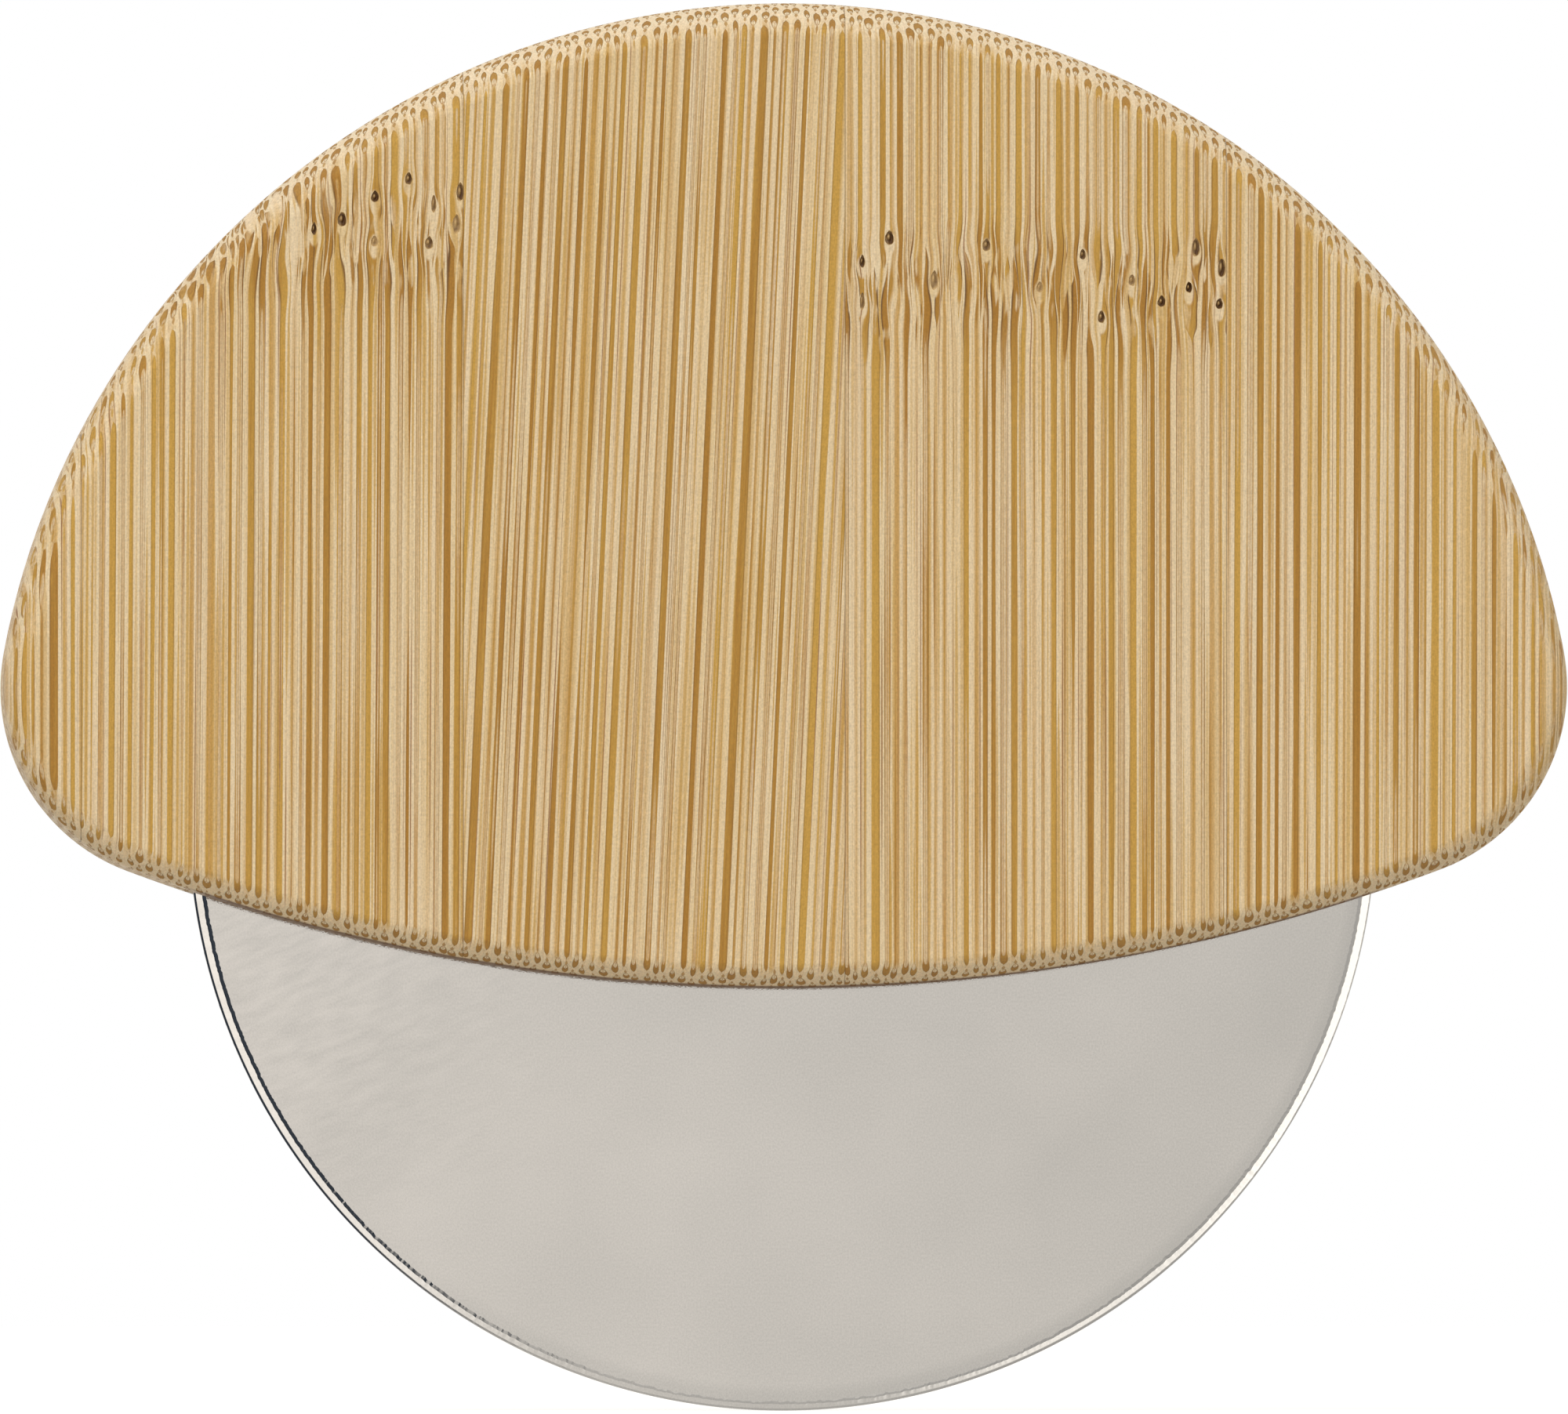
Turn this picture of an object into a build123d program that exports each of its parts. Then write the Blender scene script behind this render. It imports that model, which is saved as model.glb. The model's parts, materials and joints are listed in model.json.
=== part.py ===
from build123d import *

import math
import os

# A palm-grip pizza cutter. A steel wheel turns inside a half-moon handle of glued bamboo.
# The handle is a sandwich: a front board, a thin core that leaves a slot for the wheel, and a back board.
# Both boards are laid up from upright slats, and the core from level strips.
# X runs to the right, Y from the front face to the back face, and Z up through the handle.
# The origin is the wheel's lowest point, in the middle of the thickness. Lengths are in millimetres.

# Wheel
WHEEL_DIAMETER = 76.2
WHEEL_THICKNESS = 1.5
BEVEL_WIDTH = 0.9
RIM_THICKNESS = 0.2

# Handle outline, four arcs that run into each other.
# The top arc is struck from a little above the axle, so the crown is nearly even round the wheel.
WHEEL_TO_CORE_GAP = 1.0
CROWN_HEIGHT = 12.85
TOP_ARC_RISE = 1.3
BOTTOM_ARC_RADIUS = 119.4
CORNER_RADIUS = 12.5
HANDLE_DROP = 11.05

# Handle thickness, the bevel round both outer faces, and how far both its edges are sanded back
BOARD_THICKNESS = 6.75
EDGE_BEVEL = 1.5
EDGE_SOFTENING = 0.5

# Glue joints between the slats of a board, from left to right, as shares of the handle's half width
SLAT_JOINT_SHARES = (-0.902, -0.414, 0.074, 0.562)
# Glue joints between the strips of the core, from the bottom up, as shares of the slot's height
CORE_JOINT_SHARES = (0.5, 0.98)

# Axle, and the bush and washer that carry the wheel on it
AXLE_DIAMETER = 5.0
AXLE_SEAT_DEPTH = 5.0
AXLE_END_CHAMFER = 0.4
AXLE_RUNNING_CLEARANCE = 0.05
BUSH_WALL = 1.5
FLANGE_DIAMETER = 14.0
WASHER_THICKNESS = 0.4
WASHER_BORE_CLEARANCE = 0.1
SIDE_PLAY = 0.1

# Dowels that line the boards up with the core, and how far round from the top they sit
DOWEL_DIAMETER = 4.0
DOWEL_SEAT_DEPTH = 4.5
DOWEL_END_CHAMFER = 0.4
DOWEL_CLEARANCE = 0.05
DOWEL_ANGLE = 45

# Blind holes run this much deeper than what sits in them
BLIND_HOLE_RELIEF = 0.25
# Cutting tools overrun the faces that they break through by this much
OVERRUN = 1.0

WHEEL_RADIUS = WHEEL_DIAMETER / 2
AXLE_Z = WHEEL_RADIUS
AXLE_RADIUS = AXLE_DIAMETER / 2
BUSH_BORE_RADIUS = AXLE_RADIUS + AXLE_RUNNING_CLEARANCE
SLEEVE_RADIUS = BUSH_BORE_RADIUS + BUSH_WALL
FLANGE_RADIUS = FLANGE_DIAMETER / 2
SLOT_WIDTH = WHEEL_THICKNESS + 2 * (WASHER_THICKNESS + SIDE_PLAY)
SLOT_RADIUS = WHEEL_RADIUS + WHEEL_TO_CORE_GAP
TOP_ARC_RADIUS = SLOT_RADIUS + CROWN_HEIGHT - TOP_ARC_RISE
HANDLE_TOP_Z = AXLE_Z + SLOT_RADIUS + CROWN_HEIGHT
HANDLE_BOTTOM_Z = AXLE_Z - HANDLE_DROP
HANDLE_HEIGHT = HANDLE_TOP_Z - HANDLE_BOTTOM_Z
# The dowels sit halfway through the crown, between the slot and the top of the handle
DOWEL_CIRCLE_RADIUS = SLOT_RADIUS + CROWN_HEIGHT / 2

# The handle's pieces are drawn flat, with Y standing for the height, and are stood up at the end
TOP_CENTRE = Vector(0, HANDLE_TOP_Z - TOP_ARC_RADIUS)
BOTTOM_CENTRE = Vector(0, HANDLE_BOTTOM_Z + BOTTOM_ARC_RADIUS)


def corner_centre():
    """Centre of the right corner arc, which touches the top and the bottom arc from inside."""
    to_top = TOP_ARC_RADIUS - CORNER_RADIUS
    to_bottom = BOTTOM_ARC_RADIUS - CORNER_RADIUS
    between = BOTTOM_CENTRE.Y - TOP_CENTRE.Y
    below_top = (to_bottom**2 - to_top**2 - between**2) / (2 * between)
    across = math.sqrt(to_top**2 - below_top**2)
    return Vector(across, TOP_CENTRE.Y - below_top)


CORNER_CENTRE = corner_centre()
HALF_WIDTH = CORNER_CENTRE.X + CORNER_RADIUS


def arc_point(centre, through, radius):
    """The point of an arc that lies on the line from its centre through another point."""
    return centre + (through - centre).normalized() * radius


def mirrored(point):
    """The same point on the left half of the handle."""
    return Vector(-point.X, point.Y)


def outline():
    """The half-moon outline of the handle."""
    top_end = arc_point(TOP_CENTRE, CORNER_CENTRE, TOP_ARC_RADIUS)
    bottom_end = arc_point(BOTTOM_CENTRE, CORNER_CENTRE, BOTTOM_ARC_RADIUS)
    tip = arc_point(CORNER_CENTRE, top_end + bottom_end - CORNER_CENTRE, CORNER_RADIUS)
    return Wire(
        [
            ThreePointArc(top_end, Vector(0, HANDLE_TOP_Z), mirrored(top_end)),
            ThreePointArc(mirrored(top_end), mirrored(tip), mirrored(bottom_end)),
            ThreePointArc(mirrored(bottom_end), Vector(0, HANDLE_BOTTOM_Z), bottom_end),
            ThreePointArc(bottom_end, tip, top_end),
        ]
    )


def bevel_cutter():
    """What the softened bevel takes off a board that lies on its inner face."""
    reach = EDGE_BEVEL + EDGE_SOFTENING
    near = EDGE_SOFTENING * math.sqrt(0.5)
    far = EDGE_BEVEL - near
    profile = Polyline(
        (reach, 0),
        (far, -near),
        (near, -far),
        (0, -reach),
        (-OVERRUN, -reach),
        (-OVERRUN, OVERRUN),
        (reach, OVERRUN),
        close=True,
    )
    path = outline()
    along = path % 0
    inward = Vector(0, 0, 1).cross(along)
    section = Plane(path @ 0 + Vector(0, 0, BOARD_THICKNESS), x_dir=inward, z_dir=along)
    return sweep(section * make_face(profile), path=path)


def dowel_places():
    """The places of the two dowels, left and right of the top on a circle about the axle."""
    across = DOWEL_CIRCLE_RADIUS * math.sin(math.radians(DOWEL_ANGLE))
    up = DOWEL_CIRCLE_RADIUS * math.cos(math.radians(DOWEL_ANGLE))
    return [Pos(-across, AXLE_Z + up), Pos(across, AXLE_Z + up)]


def flat_rod(radius, low, high):
    """A round rod that stands on the flat drawing."""
    return Pos(0, 0, low) * extrude(Circle(radius), amount=high - low)


def board():
    """A whole board lying on its inner face, with the blind seats of the axle and the dowels."""
    plank = extrude(make_face(outline()), amount=BOARD_THICKNESS) - bevel_cutter()
    axle_seat = flat_rod(AXLE_RADIUS, -OVERRUN, AXLE_SEAT_DEPTH + BLIND_HOLE_RELIEF)
    hole_radius = DOWEL_DIAMETER / 2 + DOWEL_CLEARANCE
    dowel_seat = flat_rod(hole_radius, -OVERRUN, DOWEL_SEAT_DEPTH + BLIND_HOLE_RELIEF)
    return plank - [Pos(0, AXLE_Z) * axle_seat, *(place * dowel_seat for place in dowel_places())]


def board_slats():
    """The upright slats of a board, still lying flat, from left to right."""
    joints = [share * HALF_WIDTH for share in SLAT_JOINT_SHARES]
    cuts = [-HALF_WIDTH - OVERRUN, *joints, HALF_WIDTH + OVERRUN]
    plank = board()
    middle_y = (HANDLE_TOP_Z + HANDLE_BOTTOM_Z) / 2
    slats = []
    for left, right in zip(cuts, cuts[1:]):
        strip = Box(right - left, HANDLE_HEIGHT + OVERRUN, 2 * (BOARD_THICKNESS + OVERRUN))
        slats.append(plank & Pos((left + right) / 2, middle_y) * strip)
    return slats


def core_strips():
    """The level strips of the core, lying flat, by name. The wheel parts the lower two rows."""
    slab = extrude(make_face(outline()), amount=SLOT_WIDTH)
    wheel_room = flat_rod(SLOT_RADIUS, -OVERRUN, SLOT_WIDTH + OVERRUN)
    dowel_hole = flat_rod(DOWEL_DIAMETER / 2 + DOWEL_CLEARANCE, -OVERRUN, SLOT_WIDTH + OVERRUN)
    slab -= [Pos(0, AXLE_Z) * wheel_room, *(place * dowel_hole for place in dowel_places())]
    slot_height = AXLE_Z + SLOT_RADIUS - HANDLE_BOTTOM_Z
    joints = [HANDLE_BOTTOM_Z + share * slot_height for share in CORE_JOINT_SHARES]
    cuts = [HANDLE_BOTTOM_Z - OVERRUN, *joints, HANDLE_TOP_Z + OVERRUN]
    strips = {}
    for row, bottom, top in zip(("lower", "middle", "top"), cuts, cuts[1:]):
        strip = Box(2 * (HALF_WIDTH + OVERRUN), top - bottom, 2 * (SLOT_WIDTH + OVERRUN))
        pieces = (slab & Pos(0, (bottom + top) / 2) * strip).solids().sort_by(Axis.X)
        sides = ("_left", "_right") if len(pieces) > 1 else ("",)
        for side, piece in zip(sides, pieces):
            strips[f"core_{row}{side}"] = piece
    return strips


def stand_up(shape, inner_y):
    """Stands a flat shape upright, with the side that it lies on at inner_y and the rest in front of it."""
    return Plane((0, inner_y, 0), x_dir=(1, 0, 0), z_dir=(0, -1, 0)) * shape


def turned(points):
    """A ring turned about the axle from its profile, given as pairs of radius and Y."""
    profile = make_face(Polyline(*points, close=True))
    return Pos(0, 0, AXLE_Z) * revolve(profile, axis=Axis.Y)


def cutting_wheel():
    """The steel disc, ground to a narrow bevel on both faces."""
    face_y = WHEEL_THICKNESS / 2
    rim_y = RIM_THICKNESS / 2
    shoulder = WHEEL_RADIUS - BEVEL_WIDTH
    return turned(
        [
            (SLEEVE_RADIUS, -face_y),
            (shoulder, -face_y),
            (WHEEL_RADIUS, -rim_y),
            (WHEEL_RADIUS, rim_y),
            (shoulder, face_y),
            (SLEEVE_RADIUS, face_y),
        ]
    )


def hub_bush():
    """Flanged bush pressed into the wheel from the front. Its sleeve also carries the washer."""
    wheel_front_y = -WHEEL_THICKNESS / 2
    flange_front_y = wheel_front_y - WASHER_THICKNESS
    sleeve_end_y = WHEEL_THICKNESS / 2 + WASHER_THICKNESS
    return turned(
        [
            (BUSH_BORE_RADIUS, flange_front_y),
            (FLANGE_RADIUS, flange_front_y),
            (FLANGE_RADIUS, wheel_front_y),
            (SLEEVE_RADIUS, wheel_front_y),
            (SLEEVE_RADIUS, sleeve_end_y),
            (BUSH_BORE_RADIUS, sleeve_end_y),
        ]
    )


def thrust_washer():
    """Loose washer on the sleeve, between the wheel and the back board."""
    bore = SLEEVE_RADIUS + WASHER_BORE_CLEARANCE
    front_y = WHEEL_THICKNESS / 2
    back_y = front_y + WASHER_THICKNESS
    return turned([(bore, front_y), (FLANGE_RADIUS, front_y), (FLANGE_RADIUS, back_y), (bore, back_y)])


def chamfered_pin(radius, seat_depth, end_chamfer):
    """A pin that crosses the slot and reaches seat_depth into both boards, with its middle at zero."""
    reach = SLOT_WIDTH / 2 + seat_depth
    pin = flat_rod(radius, -reach, reach)
    return chamfer(pin.faces().filter_by(Axis.Z).edges(), end_chamfer)


def axle_pin():
    """Steel pin seated in the blind holes of both boards."""
    pin = chamfered_pin(AXLE_RADIUS, AXLE_SEAT_DEPTH, AXLE_END_CHAMFER)
    return stand_up(Pos(0, AXLE_Z) * pin, 0)


def locating_dowels():
    """The two dowels, one solid each."""
    dowel = chamfered_pin(DOWEL_DIAMETER / 2, DOWEL_SEAT_DEPTH, DOWEL_END_CHAMFER)
    return Compound([stand_up(place * dowel, 0) for place in dowel_places()])


def build():
    """Every node of the cutter, by name."""
    nodes = {
        "cutting_wheel": cutting_wheel(),
        "hub_bush": hub_bush(),
        "thrust_washer": thrust_washer(),
        "axle_pin": axle_pin(),
        "locating_dowels": locating_dowels(),
    }
    for name, strip in core_strips().items():
        nodes[name] = stand_up(strip, SLOT_WIDTH / 2)
    # Both boards are the same. The back one is turned round, so its joints are staggered against the front's.
    front = [stand_up(slat, -SLOT_WIDTH / 2) for slat in board_slats()]
    back = [Rot(0, 0, 180) * slat for slat in reversed(front)]
    for number, (front_slat, back_slat) in enumerate(zip(front, back), start=1):
        nodes[f"front_slat_{number}"] = front_slat
        nodes[f"back_slat_{number}"] = back_slat
    return nodes


os.makedirs("parts", exist_ok=True)
for name, shape in build().items():
    export_step(shape, f"parts/{name}.step")
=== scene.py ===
import json
import math
from types import SimpleNamespace

import bmesh
import bpy
from mathutils import Matrix, Vector, noise


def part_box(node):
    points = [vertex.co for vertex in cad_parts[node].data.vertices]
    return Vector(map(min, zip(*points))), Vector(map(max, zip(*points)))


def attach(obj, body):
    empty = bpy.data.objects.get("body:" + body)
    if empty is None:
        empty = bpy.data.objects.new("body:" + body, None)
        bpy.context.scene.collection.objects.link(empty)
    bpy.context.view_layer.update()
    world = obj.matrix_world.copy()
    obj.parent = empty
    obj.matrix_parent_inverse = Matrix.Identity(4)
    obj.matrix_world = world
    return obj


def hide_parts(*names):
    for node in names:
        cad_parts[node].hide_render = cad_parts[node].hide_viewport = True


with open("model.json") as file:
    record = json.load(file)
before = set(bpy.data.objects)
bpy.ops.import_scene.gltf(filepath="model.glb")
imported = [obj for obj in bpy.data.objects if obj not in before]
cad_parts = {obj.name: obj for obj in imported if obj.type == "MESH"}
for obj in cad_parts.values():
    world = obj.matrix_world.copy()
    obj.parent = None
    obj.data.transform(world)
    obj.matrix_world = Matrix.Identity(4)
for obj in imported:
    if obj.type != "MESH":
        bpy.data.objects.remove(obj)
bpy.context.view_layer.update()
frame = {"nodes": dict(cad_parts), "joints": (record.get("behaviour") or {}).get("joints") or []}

MM = 0.001

# Handle outline: the radii of its arcs. Its reach comes from the frame.
TOP_ARC_RADIUS = 50.65 * MM
BOTTOM_ARC_RADIUS = 119.4 * MM
CORNER_RADIUS = 12.5 * MM
OUTLINE_SPACING = 0.4 * MM

# Rounding of the outer faces, wider on top than below. It is softer than a bevel and flatter than an arc.
ROUNDING_TOP = 2.2 * MM
ROUNDING_SIDE = 1.9 * MM
ROUNDING_BOTTOM = 1.6 * MM
ROUNDING_WANDER = 0.07 * MM
ROUNDING_WAVE = 9 * MM
ROUNDING_POWER = 1.7
ROUNDING_STEPS = 14
EDGE_BREAK = 0.05 * MM
CUT_TOLERANCE = 1e-8

# Wheel section. The bevel is narrower at the bottom, and its inner border wanders.
WHEEL_BORE_RADIUS = 4.05 * MM
BEVEL_WIDTH = 0.8 * MM
BEVEL_NARROWING = 0.2 * MM
BEVEL_WANDER = 0.11 * MM
RIM_THICKNESS = 0.2 * MM
RIM_DEPTH = 0.02 * MM
RIM_CORNER_SHARE = 0.6
WHEEL_SEGMENTS = 2400

# The border's waves for each millimetre round the rim, each with its strength
BORDER_WAVES = ((0.35, 0.3), (2.2, 0.4), (5.5, 0.5))

# Rings that keep the wheel's faces flat, inward from the bevel and outward from the bore
RING_AT_BEVEL = 0.5 * MM
RING_AT_BORE = 1 * MM

# Edges sharper than this, in degrees, stay sharp
SLAT_SHARP = 35
WHEEL_SHARP = 15.5

# The ground bevel from its inner border to the edge: steep, then flatter, and steep again at the very edge.
# Each pair is a share of the bevel's width and a share of its height.
BEVEL_SHARES = (
    (0.0, 0.0), (0.03, 0.05), (0.12, 0.185), (0.22, 0.33), (0.32, 0.455), (0.38, 0.495), (0.45, 0.54),
    (0.58, 0.62), (0.70, 0.695), (0.77, 0.74), (0.84, 0.805), (0.92, 0.90), (1.0, 1.0),
)

# The photo's frame: its width is the handle's, and the handle's top is near its upper edge
PHOTO_WIDTH_PX = 2000
PHOTO_WIDTH = 100 * MM
PHOTO_CENTRE_PX = 1000
PHOTO_TOP_PX = 2
PX = PHOTO_WIDTH / PHOTO_WIDTH_PX

# Sizes from the frame
SLATS = {board: [f"{board}_slat_{number}" for number in range(1, 6)] for board in ("front", "back")}
handle_boxes = [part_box(name) for name in SLATS["front"] + SLATS["back"]]
HANDLE_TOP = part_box("core_top")[1].z
HANDLE_BOTTOM = min(low.z for low, high in handle_boxes)
HANDLE_HALF_THICKNESS = max(high.y for low, high in handle_boxes)
WHEEL_LOW, WHEEL_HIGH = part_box("cutting_wheel")
WHEEL_RADIUS = WHEEL_HIGH.x
AXLE = Vector(frame["joints"][0]["pos_m"])
DOWELS_LOW, DOWELS_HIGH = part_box("locating_dowels")
DOWEL_DIAMETER = DOWELS_HIGH.z - DOWELS_LOW.z

# Boxes of the pins that sit in the boards: the axle, and the dowels to its left and right
PINS = (
    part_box("axle_pin"),
    (DOWELS_LOW, Vector((DOWELS_LOW.x + DOWEL_DIAMETER, DOWELS_HIGH.y, DOWELS_HIGH.z))),
    (Vector((DOWELS_HIGH.x - DOWEL_DIAMETER, DOWELS_LOW.y, DOWELS_LOW.z)), DOWELS_HIGH),
)


def photo_point(x_px, y_px):
    """Where a pixel of the photo lies on the front face, as X and Z."""
    return (x_px - PHOTO_CENTRE_PX) * PX, HANDLE_TOP - (y_px - PHOTO_TOP_PX) * PX


# Shader formulas

ALMOST_NONE = 0.001
NOISE_MIDDLE = 0.5
NOISE_GAIN = 2.6


class Term:
    """A number or vector that a shader works out at each point, so that formulas read as such."""

    def __init__(self, tree, socket):
        self.tree = tree
        self.socket = socket

    def calc(self, operation, *others, clamp=False):
        """This term and the others put through one of the shader's operations."""
        node = self.tree.nodes.new("ShaderNodeMath")
        node.operation = operation
        node.use_clamp = clamp
        for slot, value in zip(node.inputs, (self, *others)):
            feed(self.tree, slot, value)
        return Term(self.tree, node.outputs[0])

    def __add__(self, other):
        return self.calc("ADD", other)

    def __sub__(self, other):
        return self.calc("SUBTRACT", other)

    def __mul__(self, other):
        return self.calc("MULTIPLY", other)

    def __truediv__(self, other):
        return self.calc("DIVIDE", other)

    def __rsub__(self, other):
        return (self * -1) + other

    __radd__ = __add__
    __rmul__ = __mul__


def feed(tree, socket, value):
    """Feeds a shader input from a term, or sets it to a plain value."""
    if isinstance(value, Term):
        tree.links.new(value.socket, socket)
    else:
        socket.default_value = value


def shader_node(tree, kind, inputs, output=0, **settings):
    """One shader node with its named inputs fed, as a term of one of its outputs."""
    node = tree.nodes.new("ShaderNode" + kind)
    for name, value in settings.items():
        setattr(node, name, value)
    for name, value in inputs.items():
        feed(tree, node.inputs[name], value)
    return Term(tree, node.outputs[output])


def combine(tree, x, y, z=0.0):
    """A vector of three numbers."""
    return shader_node(tree, "CombineXYZ", {"X": x, "Y": y, "Z": z})


def parts(vector):
    """The three numbers of a vector or colour."""
    node = vector.tree.nodes.new("ShaderNodeSeparateXYZ")
    feed(vector.tree, node.inputs[0], vector)
    return [Term(vector.tree, output) for output in node.outputs]


def cloud(tree, x, y, z=0.0, detail=0.0):
    """Smooth noise that runs from about -1 to 1."""
    place = combine(tree, x, y, z)
    inputs = {"Vector": place, "Scale": 1.0, "Detail": detail}
    return (shader_node(tree, "TexNoise", inputs, "Fac") - NOISE_MIDDLE) * NOISE_GAIN


def dice(tree, x, y, z=0.0):
    """Three random numbers from 0 to 1 for each whole-numbered place."""
    return parts(shader_node(tree, "TexWhiteNoise", {"Vector": combine(tree, x, y, z)}, "Color"))


def fade(term, start, end):
    """Goes smoothly from 0 at start to 1 at end."""
    inputs = {"Value": term, "From Min": start, "From Max": end}
    return shader_node(term.tree, "MapRange", inputs, interpolation_type="SMOOTHSTEP")


def srgb(red, green, blue):
    """A colour as a shader takes it, from its 0 to 255 values on screen."""
    return (*(((c / 255 + 0.055) / 1.055) ** 2.4 for c in (red, green, blue)), 1.0)


def blend_colours(tree, share, first, second, blend_type="MIX"):
    """The first colour at share 0, and the second at share 1."""
    node = tree.nodes.new("ShaderNodeMix")
    node.data_type = "RGBA"
    node.blend_type = blend_type
    colour_inputs = [s for s in node.inputs if s.type == "RGBA"]
    feed(tree, node.inputs[0], share)
    feed(tree, colour_inputs[0], first)
    feed(tree, colour_inputs[1], second)
    return Term(tree, next(s for s in node.outputs if s.type == "RGBA"))


def object_place(tree, unit=MM):
    """X, Y and Z of the surface point in the frame, counted in the unit."""
    place = shader_node(tree, "TexCoord", {}, "Object")
    return [axis / unit for axis in parts(place)]


def material(name, paint):
    """A material whose shader is set up by paint(tree, shader)."""
    made = bpy.data.materials.new(name)
    made.use_nodes = True
    paint(made.node_tree, made.node_tree.nodes["Principled BSDF"])
    return made


def relief(tree, shader, height, depth):
    """Gives the shader fine relief of that depth in metres from a height of 0 to 1."""
    inputs = {"Height": height, "Distance": depth, "Strength": 1.0}
    feed(tree, shader.inputs["Normal"], shader_node(tree, "Bump", inputs))


# Bamboo. Across, depth and along the grain are in millimetres, and a number beside one of them is the waves
# for each millimetre. Fibre bundles stand in columns side by side and in rows inward from the face.

COLUMN_PITCH = 0.63
BUNDLE_PERIOD = 0.84
FINE_PITCH = 0.29

# Beyond anything in the scene, in metres or in millimetres
FAR = 1000.0

# What each point of the wood is worked out from
BAMBOO_INPUTS = ("across", "depth", "along", "seed", "above", "plain", "cut", "rich", "glue")

# How far a node reaches above and below its line
NODE_REACH_UP = 4.0
NODE_REACH_DOWN = 6.5

# One bundle about its middle: each form's place, and its reach sideways and up
HOOD_UP = 0.12
HOOD_REACH = (0.20, 0.29)
VESSEL_ASIDE = 0.062
VESSEL_DOWN = 0.06
VESSEL_REACH = (0.046, 0.062)
CAP_DOWN = 0.28
CAP_REACH = (0.085, 0.115)
NOTCH_DOWN = 0.05
NOTCH_REACH = (0.125, 0.11)

# Half widths of the fine dark fibres, the fine golden ones, and the golden stripe under a column
DARK_FIBRE = 0.042
GOLD_FIBRE = 0.14
STRIPE_LEAST = 0.09
STRIPE_SPREAD = 0.09

# Colours of the ground tissue, the fibres and the vessels. Cut colours are for cuts across the grain.
GROUND_PALE = srgb(247, 223, 185)
GROUND_GOLD = srgb(235, 203, 146)
GROUND_GREY = srgb(222, 195, 156)
GROUND_CUT = srgb(246, 222, 186)
HOOD_BROWN = srgb(176, 125, 48)
HOOD_GOLD = srgb(209, 163, 76)
HOOD_CUT = srgb(178, 134, 76)
STRIPE_GOLD = srgb(203, 155, 78)
EDGE_BROWN = srgb(104, 68, 30)
SHEATH = srgb(246, 227, 190)
VESSEL_RIM = srgb(152, 98, 50)
TRACK_BROWN = srgb(176, 112, 42)
VESSEL_CREAM = srgb(246, 229, 190)

# How much of a surface's normal lies along the grain where the cut look starts, and where it is full
CUT_SLOPES = (0.15, 0.75)

BAMBOO_RELIEF = 0.035 * MM
BAMBOO_ROUGHNESS = 0.58
BAMBOO_GLOSS_INDEX = 1.45


def ellipse(x, y, radius_x, radius_y):
    """Distance from an ellipse's middle, which is 1 on its line."""
    across = x / radius_x
    up = y / radius_y
    return (across * across + up * up).calc("SQRT")


def bundle_forms(x, y, calm):
    """A fibre bundle round x = 0, y = 0, in layers: a hood over two vessels, and a small cap below."""
    forms = SimpleNamespace()
    side = x.calc("ABSOLUTE")
    narrow = fade(y, 0.10, 0.46) * 0.5 + 1
    cap_narrow = fade(y * -1, 0.26, 0.42) * 0.8 + 1
    vessel_line = ellipse(side - VESSEL_ASIDE, y + VESSEL_DOWN, *VESSEL_REACH)
    cap_line = ellipse(x * cap_narrow, y + CAP_DOWN, *CAP_REACH)
    notch = fade(ellipse(x, y + NOTCH_DOWN, *NOTCH_REACH) / (calm + ALMOST_NONE), 0.8, 1.1)
    forms.hood_line = ellipse(x * narrow, y - HOOD_UP, *HOOD_REACH)
    forms.hood = fade(forms.hood_line, 1.1, 0.86) * notch
    forms.sheath = fade(forms.hood_line, 1.8, 1.2)
    forms.rim = fade(vessel_line, 1.8, 1.3) * calm
    forms.vessel = fade(vessel_line, 1.25, 0.8) * calm
    forms.cap = fade(cap_line, 1.25, 0.7) * (calm * 0.7 + 0.3)
    return forms


def set_columns(wood):
    """Finds a point's column. Columns wander where the grain swirls, and change over at a node."""
    tree, across, seed, above = wood.tree, wood.across, wood.seed, wood.above
    wood.swirl = fade(above, NODE_REACH_UP, 0.8) * fade(above, -NODE_REACH_DOWN, -1.5)
    wood.spacing = cloud(tree, across * 0.55, wood.depth * 0.7, seed) * 0.26
    wood.sway = cloud(tree, across * 0.8, wood.along * 0.22, seed) * wood.swirl * 0.30
    columns = (across + wood.spacing + wood.sway) / COLUMN_PITCH
    upper_column = columns.calc("FLOOR")
    lower_column = columns.calc("ROUND")
    upper_place = columns - upper_column - 0.5
    lower_place = columns - lower_column

    # Below the node the columns give way to others that stand between them, and both taper to points
    turn = fade(above + cloud(tree, across * 1.25, seed + 21) * 3.8, 2.6, -3.4)
    is_lower = (upper_place.calc("ABSOLUTE") * 2 + turn).calc("GREATER_THAN", 1.0)
    wood.column = upper_column + is_lower * (lower_column - upper_column + 0.37)
    wood.beside = (upper_place + is_lower * (lower_place - upper_place)) * COLUMN_PITCH
    wood.open_width = 1 - turn + is_lower * (turn * 2 - 1)
    wood.start, wood.turned_way, wood.end_place = dice(tree, wood.column, seed)


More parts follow.
